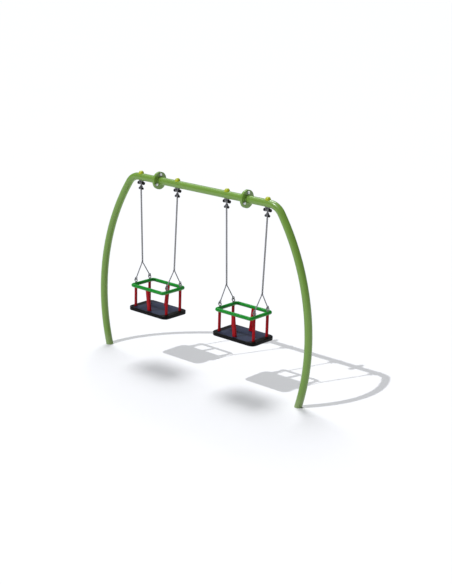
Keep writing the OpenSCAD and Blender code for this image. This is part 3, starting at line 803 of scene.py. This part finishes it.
class SWING_OT_corner_posts(bpy.types.Operator):
    """Mould the rubber sleeves of the corner posts"""

    bl_idname = "swing.corner_posts"
    bl_label = "Corner posts"

    SEGMENTS = 48
    LIFTS = 4

    def execute(self, context):
        sizes = context.scene.swing_sizes
        posts = self.posts(sizes)
        for side, piece in zip(SIDES, (posts, twin(posts, "right_corner_sleeves", side_step()))):
            hand_over(piece, f"{side}_seat", "post_rubber", (f"{side}_corner_posts",), "post red rubber")
        return {"FINISHED"}

    def posts(self, sizes):
        """The left seat's four sleeves, copied from one."""
        low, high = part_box("left_corner_posts")
        radius = sizes.post_radius
        place = Vector((low.x + radius, low.y + radius, low.z))
        across, deep = high.x - low.x - 2 * radius, high.y - low.y - 2 * radius
        post = self.sleeve(place, sizes)
        steps = ((across, 0.0, 0.0), (0.0, deep, 0.0), (across, deep, 0.0))
        return join("left_corner_sleeves", post, *(twin(post, "sleeve", step) for step in steps))

    def sleeve(self, place, sizes):
        """A round sleeve on a wider foot, bored for its rod and saddled under the rail."""
        axis_z = middle("left_rail").z
        tall = axis_z - place.z
        lip, radius = sizes.sleeve_lip, sizes.post_radius
        post = begin(
            "sleeve",
            bpy.ops.mesh.primitive_circle_add,
            vertices=self.SEGMENTS,
            radius=radius,
            fill_type="NGON",
            location=tuple(place),
        )
        narrow = 1.0 - lip / radius
        raise_ring((0.0, 0.0, FOOT_EDGE * lip))
        raise_ring((0.0, 0.0, FOOT_BEVEL * lip), narrow, place)
        lift = (tall - (FOOT_EDGE + FOOT_BEVEL) * lip) / self.LIFTS
        for _ in range(self.LIFTS):
            raise_ring((0.0, 0.0, lift))
        close_up(post)
        saddle = Vector((place.x, place.y, axis_z))
        rail = rod("rail", saddle, sizes.rail_radius + sizes.sleeve_gap, 3 * radius, "Y")
        return carve(post, rail, rod("bore", place, sizes.post_bore, 2 * tall))


class SWING_OT_middle_posts(bpy.types.Operator):
    """Mould the rubber sleeves of the middle posts"""

    bl_idname = "swing.middle_posts"
    bl_label = "Middle posts"

    SEGMENTS = 48
    LIFTS = 6
    TOP_SHARE = 0.84

    def execute(self, context):
        sizes = context.scene.swing_sizes
        front = self.sleeve(sizes)
        centre = middle("left_seat_plate")
        back = twin(front, "sleeve", turn=math.pi, about=centre)
        posts = join("left_middle_sleeves", front, back)
        for side, piece in zip(SIDES, (posts, twin(posts, "right_middle_sleeves", side_step()))):
            hand_over(piece, f"{side}_seat", "post_rubber", (f"{side}_middle_posts",), "post red rubber")
        return {"FINISHED"}

    def sleeve(self, sizes):
        """A flat sleeve with round edges that leans out and narrows up to the rail."""
        plate = middle("left_seat_plate")
        axis = Vector((plate.x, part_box("left_rail")[0].y + sizes.rail_radius, middle("left_rail").z))
        foot = Vector((plate.x, plate.y - sizes.middle_foot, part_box("left_seat_plate")[1].z))
        radius, flat = sizes.middle_radius, sizes.middle_half - sizes.middle_radius
        post = begin(
            "sleeve",
            bpy.ops.mesh.primitive_circle_add,
            vertices=self.SEGMENTS,
            radius=radius,
            fill_type="NGON",
            location=tuple(foot),
        )
        for side in (1, -1):
            pick(post, "VERT", lambda v: (v.co.x - foot.x) * side > TINY)
            bpy.ops.transform.translate(value=(side * flat, 0.0, 0.0))
        pick(post, "FACE", lambda f: True)
        lip = sizes.sleeve_lip
        rise = axis - foot
        bevel = rise * (FOOT_BEVEL * lip / rise.z)
        done = rise * ((FOOT_EDGE + FOOT_BEVEL) * lip / rise.z)
        lift = (rise - done) / self.LIFTS
        raise_ring((0.0, 0.0, FOOT_EDGE * lip))
        raise_ring(bevel, 1.0 - lip / radius, foot)
        for step in range(1, self.LIFTS + 1):
            raise_ring(lift)
            self.narrow(foot + done + lift * step)
        close_up(post)
        rail = rod("rail", axis, sizes.rail_radius + sizes.sleeve_gap, 2 * sizes.middle_half, "X")
        return carve(post, rail)

    def narrow(self, centre):
        """Draws the top ring's width in by one lift's share."""
        share = self.TOP_SHARE ** (1 / self.LIFTS)
        bpy.ops.transform.resize(value=(share, 1.0, 1.0), center_override=tuple(centre))


class SWING_OT_studio(bpy.types.Operator):
    """Set the camera, the floor and the light"""

    bl_idname = "swing.studio"
    bl_label = "Studio"

    LIGHT_AWAY = 6.0

    def execute(self, context):
        studio = context.scene.swing_studio
        self.camera(context, studio)
        self.floor(context, studio)
        self.shine(studio, "sun", studio.sun_azimuth, studio.sun_elevation, studio.sun_width)
        self.shine(studio, "lamp", studio.lamp_azimuth, studio.lamp_elevation, studio.lamp_width)
        self.sky(context, studio)
        context.scene.view_settings.view_transform = "Standard"
        return {"FINISHED"}

    def camera(self, context, studio):
        """A camera on a sphere about the middle of the arch, rolled and aimed a little aside."""
        beam_height = middle("crossbeam").z
        azimuth, elevation, roll = studio.view_azimuth, studio.view_elevation, studio.view_roll
        flat = math.cos(elevation)
        back = Vector((math.sin(azimuth) * flat, -math.cos(azimuth) * flat, math.sin(elevation)))
        level = Vector((math.cos(azimuth), math.sin(azimuth), 0.0))
        upright = back.cross(level)
        across = math.cos(roll) * level + math.sin(roll) * upright
        above = math.cos(roll) * upright - math.sin(roll) * level
        aim = Vector((0.0, 0.0, 0.5)) + across * studio.view_right + above * studio.view_up
        place = (aim + back * studio.view_distance) * beam_height
        deselect()
        bpy.ops.object.camera_add()
        camera = context.object
        camera.name = "camera"
        camera.data.lens = studio.lens
        camera.data.clip_end = 1000.0
        turn = Matrix((across, above, back)).transposed().to_4x4()
        camera.matrix_world = Matrix.Translation(place) @ turn
        context.scene.camera = camera

    def floor(self, context, studio):
        """A wide pale floor at ground level."""
        deselect()
        bpy.ops.mesh.primitive_plane_add(size=2 * studio.floor_size)
        floor = context.object
        floor.name = "floor"
        floor.data.materials.append(floor_paint(context.scene.swing_colours.floor_white))

    def shine(self, studio, name, azimuth, elevation, width):
        """A far light whose rays run towards an azimuth, down from an elevation."""
        deselect()
        bpy.ops.object.light_add(type="SUN")
        light = bpy.context.object
        light.name = name
        light.data.energy = getattr(studio, f"{name}_strength")
        light.data.color = studio.light_tint
        light.data.angle = width
        flat = math.cos(elevation)
        run = Vector((math.cos(azimuth) * flat, math.sin(azimuth) * flat, -math.sin(elevation)))
        light.location = -self.LIGHT_AWAY * run
        light.rotation_euler = run.to_track_quat("-Z", "Y").to_euler()

    def sky(self, context, studio):
        """Faint light all round."""
        world = bpy.data.worlds.new("studio light")
        world.use_nodes = True
        background = world.node_tree.nodes["Background"]
        background.inputs["Color"].default_value = (*studio.sky_tint, 1.0)
        background.inputs["Strength"].default_value = studio.sky_strength
        context.scene.world = world


OPERATORS = (
    SWING_OT_arch,
    SWING_OT_weld_beads,
    SWING_OT_round_caps,
    SWING_OT_fasteners,
    SWING_OT_hangers,
    SWING_OT_chains,
    SWING_OT_rails,
    SWING_OT_seat_plates,
    SWING_OT_corner_posts,
    SWING_OT_middle_posts,
    SWING_OT_studio,
)


class SWING_PT_pieces(bpy.types.Panel):
    """Lists the pieces of the swing in the 3D view's sidebar"""

    bl_idname = "SWING_PT_pieces"
    bl_label = "Swing"
    bl_space_type = "VIEW_3D"
    bl_region_type = "UI"
    bl_category = "Swing"

    def draw(self, context):
        for operator in OPERATORS:
            self.layout.operator(operator.bl_idname)


GROUPS = {"swing_colours": SwingColours, "swing_sizes": SwingSizes, "swing_studio": StudioSettings}


def register():
    for cls in (*GROUPS.values(), *OPERATORS, SWING_PT_pieces):
        bpy.utils.register_class(cls)
    for name, group in GROUPS.items():
        setattr(bpy.types.Scene, name, PointerProperty(type=group))


def unregister():
    for name in GROUPS:
        delattr(bpy.types.Scene, name)
    for cls in reversed((*GROUPS.values(), *OPERATORS, SWING_PT_pieces)):
        bpy.utils.unregister_class(cls)


def main():
    """Registers the add-on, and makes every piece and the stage."""
    register()
    for operator in OPERATORS:
        group, name = operator.bl_idname.split(".")
        getattr(getattr(bpy.ops, group), name)()
    deselect()


if __name__ == "__main__":
    main()
